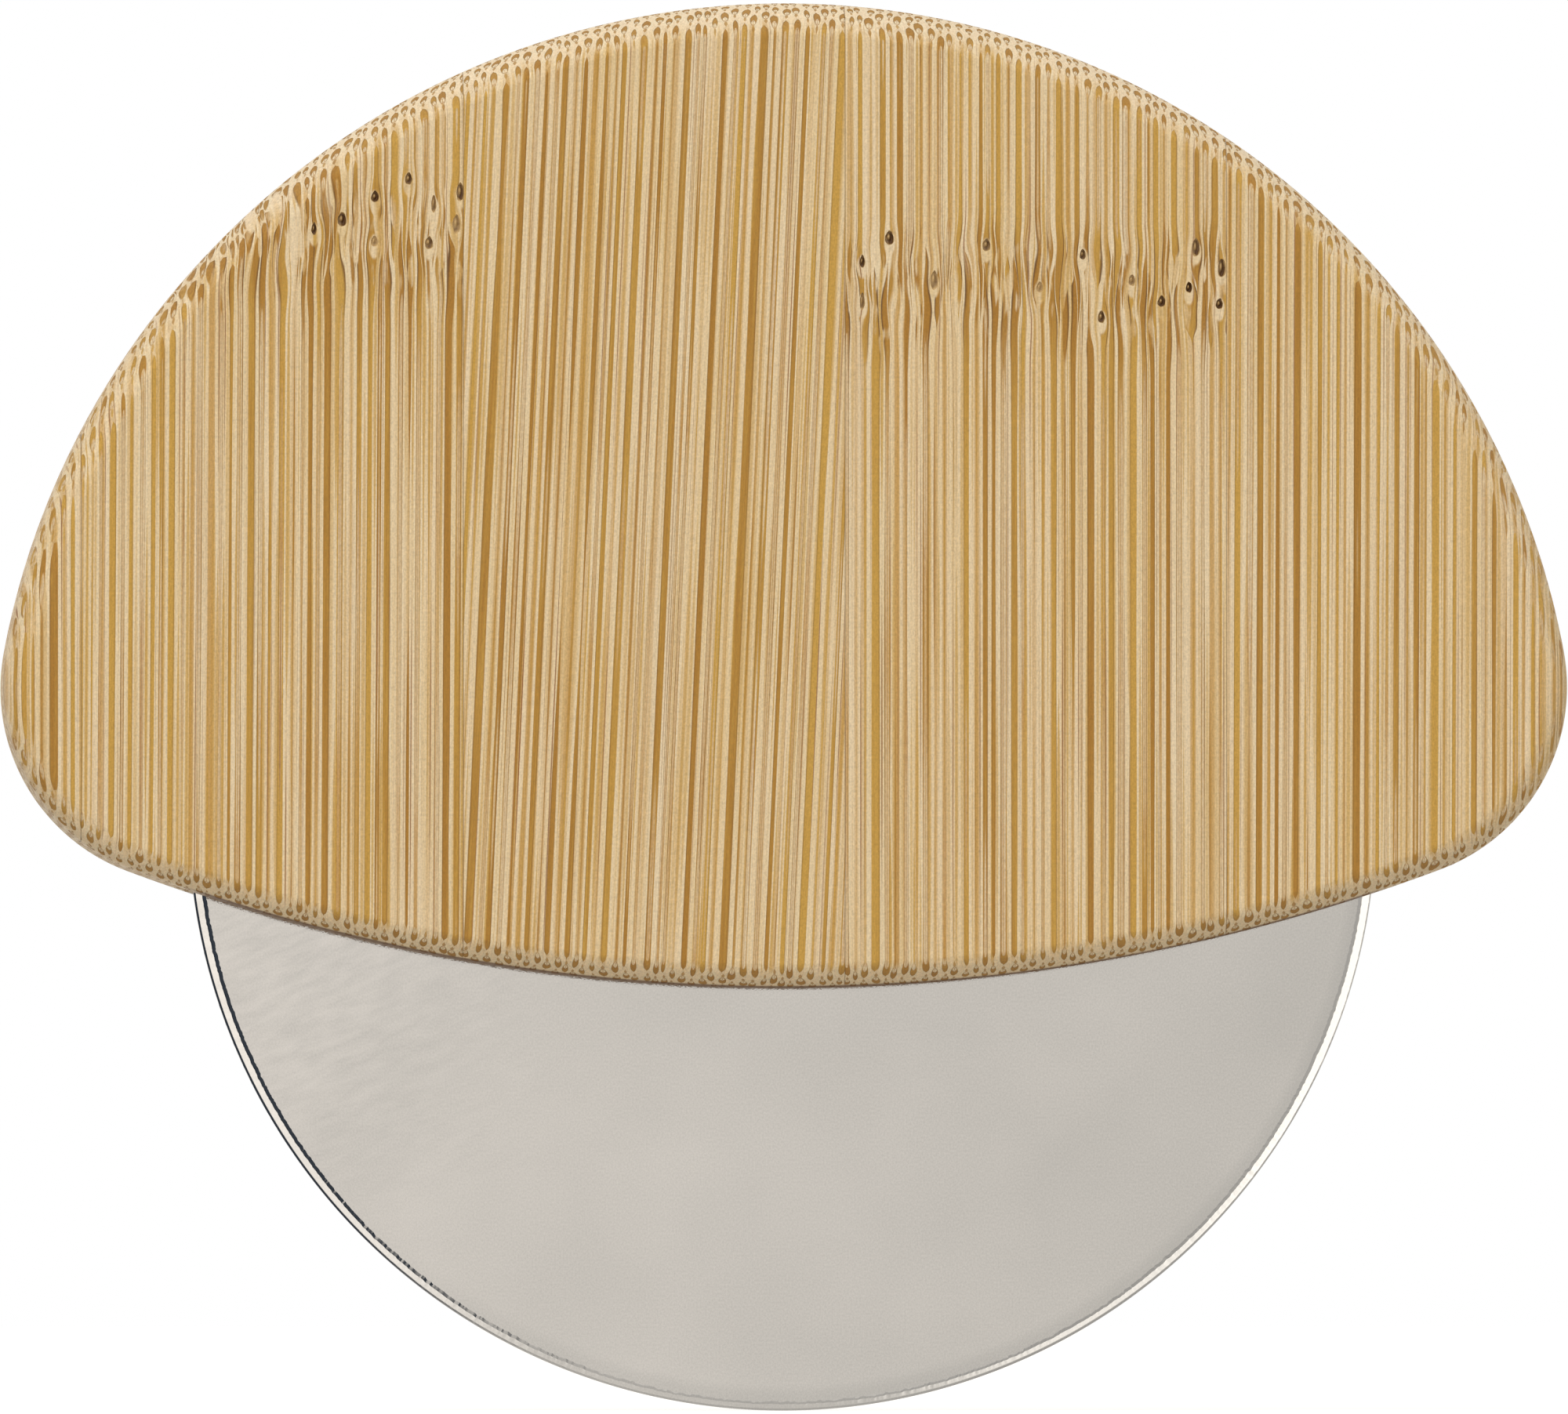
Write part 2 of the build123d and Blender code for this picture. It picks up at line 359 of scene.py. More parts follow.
def set_bundle(wood):
    """Finds a point's bundle and its place in it. Each differs a little in place, size and tone."""
    tree, across, depth, along, seed = wood.tree, wood.across, wood.depth, wood.along, wood.seed
    column, swirl, rich, cut = wood.column, wood.swirl, wood.rich, wood.cut

    # Near a node the vessels close, each column at its own height
    calm_above = wood.above + (wood.end_place - 0.5) * 7
    calm = 1 - fade(calm_above, NODE_REACH_UP + 1, 0.8) * fade(calm_above, -NODE_REACH_DOWN - 3, -3.0)

    # Each column drifts in depth by itself, so that its stripe changes along the grain
    right_shade = cloud(tree, column * 3.7, along * 0.045, seed) * 0.15
    churn = cloud(tree, column * 5.3, along * 0.24, seed + 9) * swirl * 0.30
    bend = cloud(tree, across * 0.45, depth * 0.5, seed + 4) * 0.3 * fade(depth, 0.3, 2.0)
    stagger = column * 0.5 + (wood.start - 0.5) * 0.42 + 0.19
    rows = (depth + right_shade + churn + bend) / BUNDLE_PERIOD + stagger
    row = rows.calc("FLOOR")
    up = (rows - row - 0.5) * BUNDLE_PERIOD

    shift, size, wood.tone = dice(tree, column, row, seed)
    border = fade(up.calc("ABSOLUTE"), BUNDLE_PERIOD * 0.5, BUNDLE_PERIOD * 0.34)
    wide = (size * 0.4 + 0.60 + rich * 0.16 + swirl * 0.25 + cut * 0.10) * wood.open_width
    wide = wide * border + ALMOST_NONE
    high = size * 0.25 + 0.86 + rich * 0.14 + swirl * 0.9 - cut * 0.12
    wood.aside = (wood.beside - (shift - 0.5) * 0.16) / wide * (1 - cut * 0.10)
    wood.forms = bundle_forms(wood.aside, up / high, calm)


def set_bareness(wood):
    """Finds where bundles show: not on plain spots, closing columns or a node's patches of tissue."""
    patches = cloud(wood.tree, wood.across * 1.7, wood.along * 0.30, wood.depth + wood.seed + 31, 2.0)
    tissue = fade(patches + wood.swirl * 0.45, 0.50, 0.72) * wood.swirl
    open_column = fade(wood.open_width, 0.02, 0.12)
    wood.bare = (1 - wood.plain) * open_column * (1 - tissue * (1 - wood.cut))


def set_fine_fibres(wood):
    """Fine dark and soft golden fibres between the bundles, which come and go along the grain."""
    tree, seed, on_face = wood.tree, wood.seed, 1 - wood.cut
    fine = (wood.across + wood.spacing + wood.sway * 0.8) / FINE_PITCH
    fine_column = fine.calc("FLOOR")
    shift, strength = dice(tree, fine_column, seed + 3)[:2]
    whim = cloud(tree, fine_column * 2.3, wood.along * 0.035, wood.depth * 0.9 + seed)
    side = ((fine - fine_column - 0.5) * FINE_PITCH - (shift - 0.5) * 0.13).calc("ABSOLUTE")
    dark_width = fade(whim, 0.1, 0.7) * DARK_FIBRE + ALMOST_NONE
    wood.dark_line = fade(side / dark_width, 1.4, 0.5) * on_face * (strength * 0.5 + 0.45)
    gold_width = fade(whim, 0.1, -0.5) * GOLD_FIBRE + ALMOST_NONE
    wood.gold_line = fade(side / gold_width, 1.5, 0.2) * on_face * (strength * 0.6 + 0.35)

    # Under each column the fibres show through as a soft golden stripe
    stripe_width = (wood.turned_way * STRIPE_SPREAD + STRIPE_LEAST) * wood.open_width + ALMOST_NONE
    glow = cloud(tree, wood.column * 1.7, wood.along * 0.03, seed + 12) * 0.4 + wood.end_place * 0.6 + 0.35
    stripe_side = (wood.beside - (wood.start - 0.5) * 0.16).calc("ABSOLUTE") / stripe_width
    glow = glow.calc("MULTIPLY", 1.0, clamp=True)
    wood.stripe = fade(stripe_side, 1.35, 0.6) * on_face * (1 - wood.plain) * glow


def ground_colour(wood):
    """Ground tissue in soft streaks, with the pale sheaths and the fine fibres laid over it."""
    tree, across, along, depth, seed = wood.tree, wood.across, wood.along, wood.depth, wood.seed
    streak = cloud(tree, across * 4.2, along * 0.06, depth * 4.2 + seed, 2.0)
    broad = cloud(tree, across * 0.35, along * 0.03, depth * 0.5 + seed)
    ground = blend_colours(tree, fade(streak + broad * 0.7, -1.0, 1.3), GROUND_PALE, GROUND_GOLD)
    ground = blend_colours(tree, fade(streak - broad * 0.8, 0.1, 1.4) * 0.6, ground, GROUND_GREY)
    ground = blend_colours(tree, wood.cut * 0.85, ground, GROUND_CUT)
    ground = blend_colours(tree, wood.forms.sheath * wood.bare * (wood.cut * 0.3 + 0.5), ground, SHEATH)
    ground = blend_colours(tree, wood.gold_line, ground, HOOD_GOLD)
    ground = blend_colours(tree, wood.stripe * 0.85, ground, STRIPE_GOLD)
    return blend_colours(tree, wood.dark_line, ground, VESSEL_RIM)


def fibre_colour(wood, speckle):
    """The hoods' fibre: gold to brown, streaky, and darker along one edge, most where the grain swirls."""
    tree, swirl, forms = wood.tree, wood.swirl, wood.forms
    lines = cloud(tree, wood.across * 7, wood.along * 0.12, wood.depth * 7 + wood.seed, 1.0)
    tone = wood.tone * 1.1 + wood.rich * 0.2 + swirl * 0.35 + lines * 0.35 + speckle * 0.15
    fibre = blend_colours(tree, fade(tone, 0.3, 1.25), HOOD_GOLD, HOOD_BROWN)
    turned = wood.aside * fade(wood.turned_way, 0.45, 0.55) * 2 - wood.aside
    dark_edge = fade(turned, 0.03, 0.13) * fade(forms.hood_line, 0.45, 0.9)
    fibre = blend_colours(tree, dark_edge * (swirl * 0.6 + 0.35), fibre, EDGE_BROWN)
    return blend_colours(tree, wood.cut * 0.85, fibre, HOOD_CUT)


def wood_colour(wood, speckle, hairs):
    """The ground, the fibres and the vessels over each other, with the dark glue lines, the painted shade
    beside the wheel and a fine grain.
    """
    tree, forms, bare, cut = wood.tree, wood.forms, wood.bare, wood.cut
    fibre = fibre_colour(wood, speckle)
    colour = blend_colours(tree, forms.hood * bare, ground_colour(wood), fibre)
    colour = blend_colours(tree, forms.cap * bare * 0.85, colour, fibre)
    side = wood.aside.calc("SIGN")
    dots = fade(cloud(tree, wood.column * 3.1, wood.along * 2.6, side * 5 + wood.seed), -0.6, 0.3)
    track = forms.rim * bare * (dots * 0.35 + 0.35) * (cut * 0.5 + 0.5)
    colour = blend_colours(tree, track, colour, TRACK_BROWN)
    colour = blend_colours(tree, forms.vessel * bare * (cut * 0.5 + 0.4), colour, VESSEL_CREAM)
    # Dark glue lines, and the painted shade on the underside beside the wheel, both in edge brown
    colour = blend_colours(tree, wood.glue, colour, EDGE_BROWN)
    grey = speckle * 0.20 + hairs * 0.16 + 1
    return blend_colours(tree, 1.0, colour, combine(tree, grey, grey, grey), "MULTIPLY")


def wood_height(wood, speckle, hairs):
    """Relief of the sanded surface. Hoods stand up on the face and sink in on cuts across the grain."""
    forms = wood.forms
    hoods = forms.hood * wood.bare * (0.2 - wood.cut * 1.7)
    tracks = (forms.rim + forms.vessel) * wood.bare * 0.1
    return hoods - tracks - wood.dark_line * 0.15 + speckle * 0.12 + hairs * 0.08 + 0.5


def bamboo_group():
    """The inside of bamboo: brown hoods of fibre over pairs of pale vessels, with flames at a node."""
    tree = bpy.data.node_groups.new("bamboo", "ShaderNodeTree")
    for name in BAMBOO_INPUTS:
        tree.interface.new_socket(name, in_out="INPUT", socket_type="NodeSocketFloat")
    tree.interface.new_socket("Colour", in_out="OUTPUT", socket_type="NodeSocketColor")
    tree.interface.new_socket("Height", in_out="OUTPUT", socket_type="NodeSocketFloat")
    entry = tree.nodes.new("NodeGroupInput")
    wood = SimpleNamespace(tree=tree)
    for name, socket in zip(BAMBOO_INPUTS, entry.outputs):
        setattr(wood, name, Term(tree, socket))
    set_columns(wood)
    set_bundle(wood)
    set_bareness(wood)
    set_fine_fibres(wood)

    # Speckle, and pale and dark hairs from sanding
    across, along, depth = wood.across, wood.along, wood.depth
    speckle = cloud(tree, across * 8, along * 6.5, depth * 8 + wood.seed, 2.0)
    hairs = cloud(tree, across * 14, along * 2.0, depth * 14 + wood.seed, 1.0)
    leave = tree.nodes.new("NodeGroupOutput")
    feed(tree, leave.inputs["Colour"], wood_colour(wood, speckle, hairs))
    feed(tree, leave.inputs["Height"], wood_height(wood, speckle, hairs))
    return tree


BAMBOO = bamboo_group()


def bamboo(tree, shader, terms):
    """Dresses a shader as sanded bamboo, from the group's inputs."""
    group = tree.nodes.new("ShaderNodeGroup")
    group.node_tree = BAMBOO
    for name, value in zip(BAMBOO_INPUTS, terms):
        feed(tree, group.inputs[name], value)
    feed(tree, shader.inputs["Base Color"], Term(tree, group.outputs["Colour"]))
    height = Term(tree, group.outputs["Height"])
    relief(tree, shader, height, BAMBOO_RELIEF)
    feed(tree, shader.inputs["Roughness"], height * -0.12 + BAMBOO_ROUGHNESS)
    shader.inputs["IOR"].default_value = BAMBOO_GLOSS_INDEX


# How far the fibres of a slat lean, in millimetres sideways for each one up, and where a node crosses a slat
LEANS = {"front_slat_2": 0.006, "front_slat_3": 0.045, "front_slat_5": 0.004}
NODE_HEIGHTS = {
    "front_slat_2": photo_point(0, 292)[1],
    "front_slat_4": photo_point(0, 350)[1],
}

# Pits in the nodes, by their places in the photo
PITS_PX = {
    "front_slat_2": (
        (431, 280), (395, 292), (548, 260), (577, 286), (542, 310), (472, 308), (348, 253), (314, 275),
        (516, 228), (473, 251), (582, 245),
    ),
    "front_slat_4": (
        (1131, 303), (1096, 333), (1096, 384), (1188, 357), (1255, 312), (1323, 366), (1378, 324),
        (1441, 357), (1402, 404), (1479, 384), (1523, 315), (1514, 366), (1556, 341), (1553, 387),
    ),
}

# Round a pit lies a halo of plain tissue, a little lower than the pit, which pushes the fibres aside
HALO_REACH = (0.62, 1.35)
HALO_DOWN = 0.35
HALO_PUSH = 0.45

# Half width of a glue line, and the height at which the fibres stand where the photo shows them
GLUE_LINE = 0.05
LEAN_HEIGHT = 62

# The underside beside the wheel is darkened with painted shade: from this depth inward, and this far to both
# sides
UNDERSIDE_SHADE_DEPTH = (1.0, 1.3)
UNDERSIDE_SHADE_HALF_WIDTH = (39.0, 36.5)

# Places where the bundles are wide and brown: photo columns, half width in millimetres, and strength
RICH_BANDS = {
    "front_slat_1": ((60, 1.5, 0.6),),
    "front_slat_2": ((330, 4.0, 0.5), (540, 4.5, 0.7)),
    "front_slat_3": ((640, 3.5, 0.8), (1000, 4.5, 1.0), (850, 2.5, 0.3)),
    "front_slat_4": ((1150, 4.0, 0.8), (1480, 5.0, 0.8)),
    "front_slat_5": ((1620, 4.5, 1.0), (1800, 2.5, 0.5)),
}


def in_halos(name, x, z, across):
    """The fibres pushed aside by a slat's pits, and how plain the wood is round them."""
    plain = None
    for x_px, y_px in PITS_PX[name]:
        pit_x, pit_z = (place / MM for place in photo_point(x_px, y_px))
        near = ellipse(x - pit_x, z - pit_z + HALO_DOWN, *HALO_REACH)
        across = across - fade(near, 1.4, 0.2) * (x - pit_x) * HALO_PUSH
        halo = fade(near, 0.66, 0.46)
        plain = halo if plain is None else plain.calc("MAXIMUM", halo)
    return across, plain


def richness(tree, name, seed, across, above):
    """How wide and brown a slat's bundles are, from 0 to 1: most in its rich bands and at its node."""
    rich = 0.42 + cloud(tree, across * 0.16, seed + 6) * 0.4
    if name in NODE_HEIGHTS:
        rich = rich + fade(above, 9.0, 2.0) * fade(above, -12.0, -4.0) * 0.8
    for x_px, half_width, strength in RICH_BANDS.get(name, ()):
        band_x = photo_point(x_px, 0)[0] / MM - LEAN_HEIGHT * LEANS.get(name, 0.0)
        offset = (across - band_x).calc("ABSOLUTE")
        rich = rich + fade(offset, half_width, half_width * 0.3) * strength
    return rich.calc("MULTIPLY", 1.0, clamp=True)


def slat_material(name, outer_y, left, right):
    """Bamboo with upright grain. Depth counts inward from the board's outer face."""

    def paint(tree, shader):
        x, y, z = object_place(tree)
        seed = 3.0 + 10 * list(SLATS["front"] + SLATS["back"]).index(name)
        across = x - z * LEANS.get(name, 0.0)
        depth = (y - outer_y / MM).calc("ABSOLUTE")
        above = FAR
        plain = 0.0
        if name in NODE_HEIGHTS:
            above = z - NODE_HEIGHTS[name] / MM + cloud(tree, x * 0.11, 0.0, seed) * 1.3
            across, plain = in_halos(name, x, z, across)
        rich = richness(tree, name, seed, across, above)
        from_left = (x - left / MM).calc("ABSOLUTE")
        from_right = (x - right / MM).calc("ABSOLUTE")
        glue = fade(from_left.calc("MINIMUM", from_right), GLUE_LINE, GLUE_LINE * 0.4) * 0.5
        normal = parts(shader_node(tree, "TexCoord", {}, "Normal"))
        cut = fade(normal[2].calc("ABSOLUTE"), *CUT_SLOPES)
        # Painted shade: the board's downward faces beside the wheel darken, and the steel shows them as a
        # dark line under the handle
        underside_shade = fade(normal[2], -0.72, -0.9) * fade(depth, *UNDERSIDE_SHADE_DEPTH)
        underside_shade = underside_shade * fade(x.calc("ABSOLUTE"), *UNDERSIDE_SHADE_HALF_WIDTH) * 0.95
        bamboo(tree, shader, (across, depth, z, seed, above, plain, cut, rich, glue.calc("MAXIMUM", underside_shade)))

    return material(name + "_bamboo", paint)


# The core shows bamboo as it is this deep below a face, in millimetres, and with its own grain
CORE_DEPTH = 7
CORE_SEED = 77.0
CORE_RICHNESS = 0.4


def core_paint(tree, shader):
    """Bamboo with level grain, for the strips between the boards."""
    x, y, z = object_place(tree)
    normal = parts(shader_node(tree, "TexCoord", {}, "Normal"))
    cut = fade(normal[0].calc("ABSOLUTE"), *CUT_SLOPES)
    bamboo(tree, shader, (z, y + CORE_DEPTH, x, CORE_SEED, FAR, 0.0, cut, CORE_RICHNESS, 0.0))


# The other materials. A number beside x, y or z is again the waves for each millimetre.

PIT_WAX = srgb(206, 172, 118)
PIT_SHADE = srgb(92, 60, 28)
PIT_ROUGHNESS = 0.4
STEEL_DARK = srgb(178, 174, 167)
STEEL_LIGHT = srgb(216, 209, 200)
STEEL_ROUGHNESS = 0.06
STEEL_RELIEF = 0.002 * MM
PIN_DARK = srgb(176, 174, 170)
PIN_LIGHT = srgb(204, 202, 198)
PIN_ROUGHNESS = 0.3
NYLON_DARK = srgb(226, 223, 212)
NYLON_LIGHT = srgb(238, 236, 228)
NYLON_ROUGHNESS = 0.45
DOWEL_LIGHT = srgb(222, 195, 150)
DOWEL_DARK = srgb(192, 156, 106)
DOWEL_ROUGHNESS = 0.6
DOWEL_RELIEF = 0.02 * MM

# Ripples of the rolled steel: where they start and are full, sideways and up, in millimetres
RIPPLES_ASIDE = (-10.0, -32.0)
RIPPLES_UP = (10.0, 26.0)

# A band inside the rim darkened with painted shade on the right and lower part of the wheel, by its distance
# from the axle
RIM_SHADE_RADII = (36.3, 37.3)


def pit_paint(tree, shader):
    """The inside of a pit: a waxy cream bud and rim, and painted shade that darkens it the deeper it is."""
    x, y, z = object_place(tree)
    patches = cloud(tree, x * 5.1, z * 4.3, y * 5.0, 2.0)
    # Painted shade: darker toward the bottom of the hollow
    pit_shade = fade(y + HANDLE_HALF_THICKNESS / MM + patches * 0.04, 0.04, 0.26)
    feed(tree, shader.inputs["Base Color"], blend_colours(tree, pit_shade, PIT_WAX, PIT_SHADE))
    shader.inputs["Roughness"].default_value = PIT_ROUGHNESS


def steel_paint(tree, shader):
    """Satin rolled stainless steel, faintly mottled, with fine grain and slanting ripples on one side, and
    painted shade that darkens it toward the right and in a band inside the rim.
    """
    x, z = object_place(tree)[::2]
    shader.inputs["Metallic"].default_value = 1.0
    mottle = cloud(tree, x * 0.10, z * 0.10, 5.0, 4.0)
    grain = cloud(tree, x * 9.0, z * 7.0, 2.0, 2.0)
    along = x * 0.93 + z * 0.37
    ripples = cloud(tree, along * 0.42, z * 1.4 - x * 0.56, 8.0, 3.0)
    ripples = ripples * fade(x, *RIPPLES_ASIDE) * (fade(z, *RIPPLES_UP) * 0.85 + 0.15)
    # Painted shade: the steel darkens evenly toward the right
    right_shade = x * -0.011
    aside = x - AXLE.x / MM
    up = z - AXLE.z / MM
    radius = (aside * aside + up * up).calc("SQRT")
    # Painted shade: the band inside the rim darkens on the right and at the bottom
    rim_shade = fade(radius, *RIM_SHADE_RADII) * fade(x + z * -0.6, -40.0, 0.0) * -0.5
    tone = fade(mottle * 0.35 + grain * 0.6 + ripples * 0.7 + right_shade + rim_shade, -1.5, 1.5)
    feed(tree, shader.inputs["Base Color"], blend_colours(tree, tone, STEEL_DARK, STEEL_LIGHT))
    feed(tree, shader.inputs["Roughness"], mottle * 0.01 + grain * 0.012 + STEEL_ROUGHNESS)
    relief(tree, shader, grain * 0.3 + ripples * 0.5 + 0.5, STEEL_RELIEF)


def pin_paint(tree, shader):
    """Ground steel with fine rings round the pin."""
    y = object_place(tree)[1]
    shader.inputs["Metallic"].default_value = 1.0
    rings = cloud(tree, y * 9, 0.0, 1.0, 2.0)
    feed(tree, shader.inputs["Base Color"], blend_colours(tree, fade(rings, -1, 1), PIN_DARK, PIN_LIGHT))
    feed(tree, shader.inputs["Roughness"], rings * 0.06 + PIN_ROUGHNESS)


def nylon_paint(tree, shader):
    """Natural nylon, slightly cloudy."""
    x, y, z = object_place(tree)
    clouds = cloud(tree, x * 0.8, z * 0.8, y * 0.8, 3.0)
    feed(tree, shader.inputs["Base Color"], blend_colours(tree, fade(clouds, -1, 1), NYLON_DARK, NYLON_LIGHT))
    feed(tree, shader.inputs["Roughness"], clouds * 0.05 + NYLON_ROUGHNESS)


def dowel_paint(tree, shader):
    """Plain turned wood with its grain along the dowel."""
    x, y, z = object_place(tree)
    grain = cloud(tree, x * 3.5, y * 0.3, z * 3.5, 3.0)
    feed(tree, shader.inputs["Base Color"], blend_colours(tree, fade(grain, -1, 1), DOWEL_LIGHT, DOWEL_DARK))
    feed(tree, shader.inputs["Roughness"], grain * 0.06 + DOWEL_ROUGHNESS)
    relief(tree, shader, grain * 0.5 + 0.5, DOWEL_RELIEF)


# Handle outline and the meshes of the slats


def outline_points():
    """Points of the handle's outline with their outward directions, as pairs of X and Z."""
    top_z = HANDLE_TOP - TOP_ARC_RADIUS
    bottom_z = HANDLE_BOTTOM + BOTTOM_ARC_RADIUS
    to_top = TOP_ARC_RADIUS - CORNER_RADIUS
    to_bottom = BOTTOM_ARC_RADIUS - CORNER_RADIUS
    between = bottom_z - top_z
    below = (to_bottom**2 - to_top**2 - between**2) / (2 * between)
    corner_x = math.sqrt(to_top**2 - below**2)
    corner_z = top_z - below
    high = math.atan2(-below, corner_x)
    low = math.atan2(bottom_z - corner_z, corner_x)
    arcs = (
        (0.0, top_z, TOP_ARC_RADIUS, high, math.pi - high),
        (-corner_x, corner_z, CORNER_RADIUS, math.pi - high, math.pi + low),
        (0.0, bottom_z, BOTTOM_ARC_RADIUS, math.pi + low, 2 * math.pi - low),
        (corner_x, corner_z, CORNER_RADIUS, -low, high),
    )
    points = []
    for centre_x, centre_z, radius, start, end in arcs:
        count = math.ceil(radius * (end - start) / OUTLINE_SPACING)
        for step in range(count):
            angle = start + (end - start) * step / count
            out_x, out_z = math.cos(angle), math.sin(angle)
            points.append((centre_x + radius * out_x, centre_z + radius * out_z, out_x, out_z))
    return points


def rounding_at(x, z, out_z):
    """How wide the rounding is at a point of the outline."""
    end = ROUNDING_TOP if out_z > 0 else ROUNDING_BOTTOM
    width = ROUNDING_SIDE + (end - ROUNDING_SIDE) * abs(out_z)
    return width + noise.noise(Vector((x, 0, z)) / ROUNDING_WAVE) * ROUNDING_WANDER


def board_mesh(inner_y, outer_y):
    """A whole board before it is parted into slats, as a bmesh."""
    board = bmesh.new()
    outward = math.copysign(1, outer_y - inner_y)
    rings = [[], []]
    for x, z, out_x, out_z in outline_points():
        rings[0].append((x - out_x * EDGE_BREAK, inner_y, z - out_z * EDGE_BREAK))
        rings[1].append((x, inner_y + outward * EDGE_BREAK, z))
    for step in range(ROUNDING_STEPS + 1):
        angle = math.pi / 2 * step / ROUNDING_STEPS
        in_share = 1 - math.cos(angle) ** (2 / ROUNDING_POWER)
        down_share = 1 - math.sin(angle) ** (2 / ROUNDING_POWER)
        ring = []
        for x, z, out_x, out_z in outline_points():
            width = rounding_at(x, z, out_z)
            inset = width * in_share
            ring.append((x - out_x * inset, outer_y - outward * width * down_share, z - out_z * inset))
        rings.append(ring)
    rows = [[board.verts.new(place) for place in ring] for ring in rings]
    count = len(rows[0])
    for low, high in zip(rows, rows[1:]):
        for i in range(count):
            board.faces.new((low[i], low[(i + 1) % count], high[(i + 1) % count], high[i]))
    board.faces.new(rows[0])
    board.faces.new(rows[-1])
    bmesh.ops.recalc_face_normals(board, faces=board.faces)
    return board


def part_off(board, left_x, right_x):
    """The stretch of a board between two glue joints, closed again where it was cut."""
    piece = board.copy()
    for x, side in ((left_x, -1), (right_x, 1)):
        bmesh.ops.bisect_plane(
            piece,
            geom=[*piece.verts, *piece.edges, *piece.faces],
            plane_co=(x, 0, 0),
            plane_no=(side, 0, 0),
            clear_outer=True,
            dist=CUT_TOLERANCE,
        )
        bmesh.ops.holes_fill(piece, edges=[edge for edge in piece.edges if edge.is_boundary], sides=0)
    bmesh.ops.recalc_face_normals(piece, faces=piece.faces)
    return piece


def add_piece(name, mesh_data, materials, body, node):
    """Puts a mesh in the scene as a piece that stands for a CAD node."""
    mesh = bpy.data.meshes.new(name)
    mesh_data.to_mesh(mesh)
    mesh_data.free()
    piece = bpy.data.objects.new(name, mesh)
    bpy.context.scene.collection.objects.link(piece)
    for made in materials:
        mesh.materials.append(made)
    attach(piece, body)
    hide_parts(node)
    return piece


def smooth(piece, sharp_degrees):
    """Smooth shading that keeps the flats flat and the sharp edges sharp."""
    piece.data.shade_smooth()
    piece.data.set_sharp_from_angle(angle=math.radians(sharp_degrees))
    weighting = piece.modifiers.new("flat_faces", "WEIGHTED_NORMAL")
    weighting.keep_sharp = True


ROD_SEGMENTS = 64

# Pits: the least half width, half height and depth in millimetres, each with how much it varies
PIT_SIZES = ((0.22, 0.07), (0.46, 0.17), (0.28, 0.11))
PIT_SUBDIVISIONS = 5
PIT_BUMP = 0.16
PIT_TAPER = 0.2
BUD_PLACE = (-0.22, 0.12)
BUD_SPREAD = 0.22
BUD_HEIGHT = 0.85


def add_rod(cutters, low, high):
    """A rod along Y that fills a box, for cutting a blind seat."""
    radius = (high.x - low.x) / 2
    middle = (low + high) / 2
    turn = Matrix.Translation(middle) @ Matrix.Rotation(math.pi / 2, 4, "X")
    bmesh.ops.create_cone(
        cutters,
        cap_ends=True,
        segments=ROD_SEGMENTS,
        radius1=radius,
        radius2=radius,
        depth=high.y - low.y,
        matrix=turn,
    )


def add_pit(cutters, x, y, z, number):
    """A hollow of its own shape, sunk into the face, with a bud left standing in it."""
    sizes = []
    for kind, (least, spread) in enumerate(PIT_SIZES):
        sizes.append((least + spread * noise.cell(Vector((number, kind + 1.5, 0.5)))) * MM)
    width, height, depth = sizes
    made = bmesh.ops.create_icosphere(cutters, subdivisions=PIT_SUBDIVISIONS, radius=1.0)
    for vertex in made["verts"]:
        place = vertex.co.copy()
        bump = 1 + PIT_BUMP * noise.noise(place * 1.4 + Vector((number * 7.3, 0, 0)))
        taper = 1 - PIT_TAPER * place.z
        from_bud = (place.x - BUD_PLACE[0]) ** 2 + (place.z - BUD_PLACE[1]) ** 2
        bud = math.exp(-from_bud / BUD_SPREAD)
        vertex.co = Vector((
            x + place.x * width * bump * taper,
            y + place.y * depth * bump * (1 - BUD_HEIGHT * bud),
            z + place.z * height * bump,
        ))


def cut_away(piece, cutters):
    """Takes the cutters' shapes out of a piece."""
    mesh = bpy.data.meshes.new(piece.name + "_cutters")
    for face in cutters.faces:
        face.smooth = True
    cutters.to_mesh(mesh)
    cutters.free()
    tool = bpy.data.objects.new(piece.name + "_cutters", mesh)
    bpy.context.scene.collection.objects.link(tool)
    cut = piece.modifiers.new("cut", "BOOLEAN")
    cut.operation = "DIFFERENCE"
    cut.solver = "EXACT"
    cut.object = tool
    shown = piece.evaluated_get(bpy.context.evaluated_depsgraph_get())
    cut_mesh = bpy.data.meshes.new_from_object(shown)
    piece.modifiers.clear()
    piece.data = cut_mesh
    bpy.data.objects.remove(tool)


PIT = material("pit", pit_paint)


def slat_cutters(name, left, right, outer_y):
    """What a slat's pits and pin seats take away, as a bmesh. A pit's faces take the second material."""
    cutters = bmesh.new()
    for number, (x_px, y_px) in enumerate(PITS_PX.get(name, ())):
        x, z = photo_point(x_px, y_px)
        add_pit(cutters, x, outer_y, z, number)
    for face in cutters.faces:
        face.material_index = 1
    for pin_low, pin_high in PINS:
        if left < pin_low.x and pin_high.x < right:
            add_rod(cutters, pin_low, pin_high)
    return cutters


